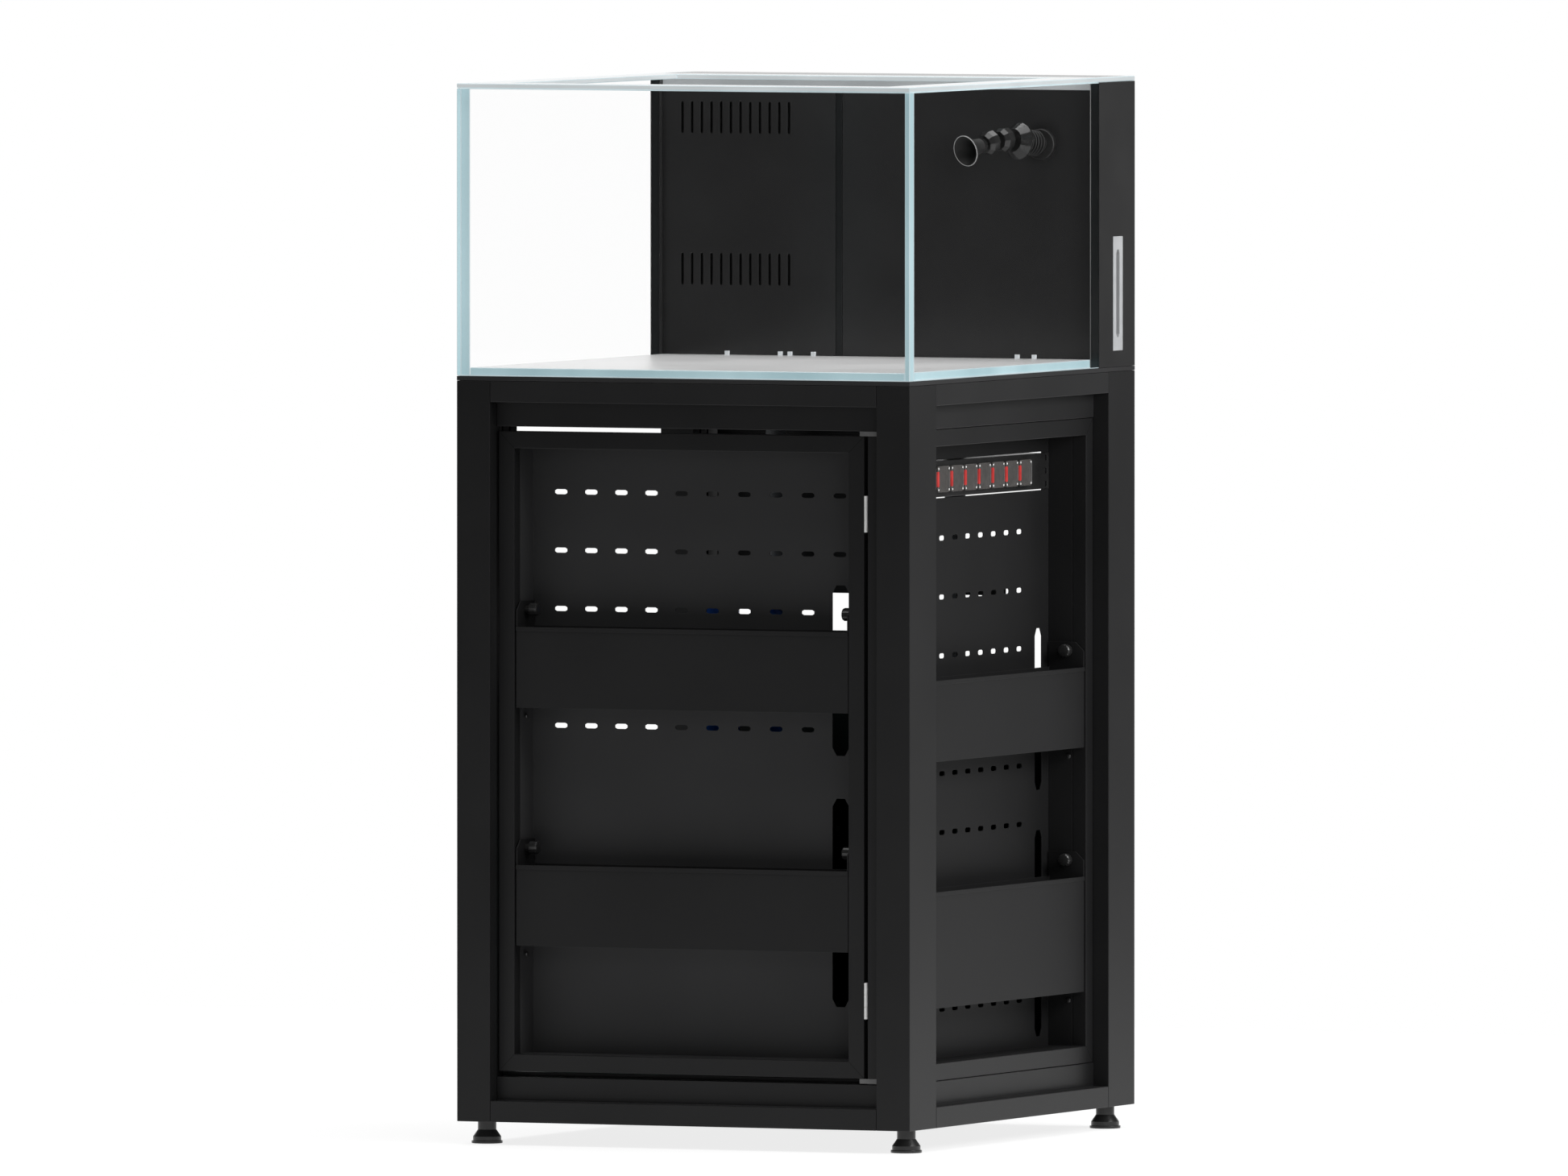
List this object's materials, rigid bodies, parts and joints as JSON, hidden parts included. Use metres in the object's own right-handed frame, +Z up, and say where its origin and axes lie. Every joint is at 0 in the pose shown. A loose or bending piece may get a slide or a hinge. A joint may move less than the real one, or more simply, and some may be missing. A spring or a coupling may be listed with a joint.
{
  "type": "aquarium on stand",
  "caption": "Square open glass aquarium with a black rear filter box, on a black profile frame stand with two slotted equipment doors.",
  "frame": {"origin": "middle of the footprint, on the floor under the four feet", "axes": "+Z up, -Y out of the front door, +X out of the side door"},
  "size_m": [0.6, 0.7, 1.2925],
  "materials": {
    "black_frame": "fine satin black powder coat on aluminium profile",
    "black_sheet": "matt black powder coat on folded sheet",
    "black_plastic": "satin black moulded plastic",
    "steel": "bright brushed steel",
    "clear_glass": "clear glass with pale blue polished edges",
    "black_acrylic": "polished black sheet",
    "grey_plate": "light grey satin plate",
    "green_glass": "green-tinted float glass",
    "blue_plastic": "blue glossy plastic",
    "grey_pvc": "grey pipe plastic"
  },
  "bodies": {
    "stand": {"post_front_left": "black_frame", "post_front_right": "black_frame", "post_rear_left": "black_frame", "post_rear_right": "black_frame", "top_rail_front": "black_frame", "top_rail_rear": "black_frame", "top_rail_left": "black_frame", "top_rail_right": "black_frame", "bottom_rail_front": "black_frame", "bottom_rail_rear": "black_frame", "bottom_rail_left": "black_frame", "bottom_rail_right": "black_frame", "top_panel": "black_sheet", "base_panel": "black_sheet", "back_panel": "black_sheet", "front_hinge_strip": "black_frame", "front_hinge_upper": "steel", "front_hinge_lower": "steel", "side_hinge_strip": "black_frame", "side_hinge_upper": "steel", "side_hinge_lower": "steel", "floor_pane": "clear_glass", "front_pane": "clear_glass", "left_pane": "clear_glass", "right_pane": "clear_glass", "brace": "clear_glass", "box_side_left": "black_acrylic", "box_side_right": "black_acrylic", "box_back": "black_acrylic", "weir_screen": "black_acrylic", "screen_seam": "black_acrylic", "return_panel": "black_acrylic", "level_plate": "grey_plate", "nozzle_base": "black_plastic", "sump": "green_glass", "filter_column_left": "blue_plastic", "filter_column_right": "blue_plastic", "return_pump": "black_plastic", "return_pipe": "grey_pvc", "drain_pipe": "grey_pvc"},
    "front_door": {"front_door_frame": "black_frame", "front_board": "black_sheet", "front_tray_upper": "black_sheet", "front_tray_lower": "black_sheet", "front_door_hinge_upper": "steel", "front_door_hinge_lower": "steel"},
    "side_door": {"side_door_frame": "black_frame", "side_board": "black_sheet", "side_tray_upper": "black_sheet", "side_tray_lower": "black_sheet", "side_door_hinge_upper": "steel", "side_door_hinge_lower": "steel", "power_bar": "black_plastic"},
    "lid": {"box_lid": "black_acrylic"},
    "nozzle_link": {"nozzle_link": "black_plastic"},
    "nozzle_flare": {"nozzle_flare": "black_plastic"},
    "foot_front_left": {"foot_front_left": "black_plastic"},
    "foot_front_right": {"foot_front_right": "black_plastic"},
    "foot_rear_left": {"foot_rear_left": "black_plastic"},
    "foot_rear_right": {"foot_rear_right": "black_plastic"}
  },
  "joints": [
    {"name": "front_door_hinge", "type": "hinge", "parent": "stand", "child": "front_door", "pos_m": [0.23365, -0.33, 0.47935], "axis": [0, 0, 1], "range_deg": [0, 110]},
    {"name": "side_door_hinge", "type": "hinge", "parent": "stand", "child": "side_door", "pos_m": [0.28, -0.24565, 0.47875], "axis": [0, 0, -1], "range_deg": [0, 110]},
    {"name": "lid_lift", "type": "slide", "parent": "stand", "child": "lid", "axis": [0, 0, 1], "range_m": [0, 0.12]},
    {"name": "nozzle_pan", "type": "hinge", "parent": "stand", "child": "nozzle_link", "pos_m": [0.19721, 0.18408, 1.217], "axis": [0, 0, 1], "range_deg": [-18, 18]},
    {"name": "nozzle_tilt", "type": "hinge", "parent": "nozzle_link", "child": "nozzle_flare", "pos_m": [0.18803, 0.15885, 1.21418], "axis": [-0.9397, 0.342, 0], "range_deg": [-12, 18]},
    {"name": "foot_front_left_turn", "type": "hinge", "parent": "stand", "child": "foot_front_left", "pos_m": [-0.278, -0.309, 0], "axis": [0, 0, 1], "continuous": true},
    {"name": "foot_front_right_turn", "type": "hinge", "parent": "stand", "child": "foot_front_right", "pos_m": [0.278, -0.309, 0], "axis": [0, 0, 1], "continuous": true},
    {"name": "foot_rear_left_turn", "type": "hinge", "parent": "stand", "child": "foot_rear_left", "pos_m": [-0.278, 0.309, 0], "axis": [0, 0, 1], "continuous": true},
    {"name": "foot_rear_right_turn", "type": "hinge", "parent": "stand", "child": "foot_rear_right", "pos_m": [0.278, 0.309, 0], "axis": [0, 0, 1], "continuous": true}
  ]
}
